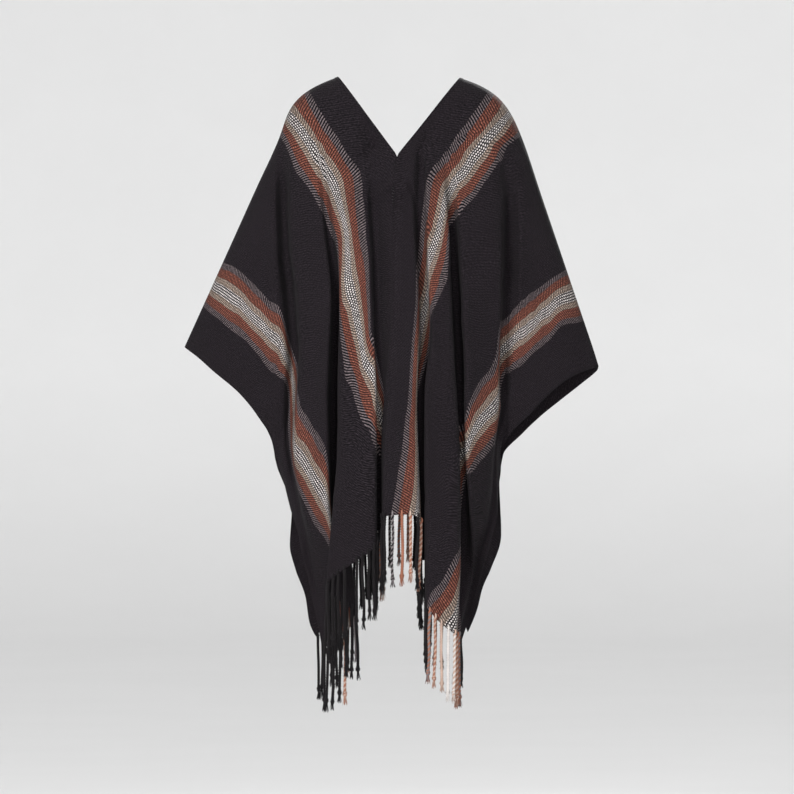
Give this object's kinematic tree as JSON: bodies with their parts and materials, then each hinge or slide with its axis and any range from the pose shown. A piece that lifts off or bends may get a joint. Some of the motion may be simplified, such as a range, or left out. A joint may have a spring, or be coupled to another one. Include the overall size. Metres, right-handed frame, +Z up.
{
  "type": "andean poncho",
  "caption": "Open V-neck poncho of two striped woven panels with a knotted fringe, draped and hollow as worn.",
  "frame": {"origin": "midway between the two neck tops on the shoulder line, where the wearer's shoulders hold the poncho up", "axes": "+Z up, the front of the poncho faces -Y, +X to the viewer's right as seen from the front"},
  "size_m": [0.7462, 0.3806, 1.1404],
  "materials": {
    "cloth": "matte woven twill, black with striped bands",
    "fringe_yarn": "matte twisted yarn"
  },
  "bodies": {
    "root": {"panel_left": "cloth", "panel_right": "cloth", "fringe_front_left": "fringe_yarn", "fringe_front_right": "fringe_yarn", "fringe_back_left": "fringe_yarn", "fringe_back_right": "fringe_yarn"}
  },
  "joints": []
}
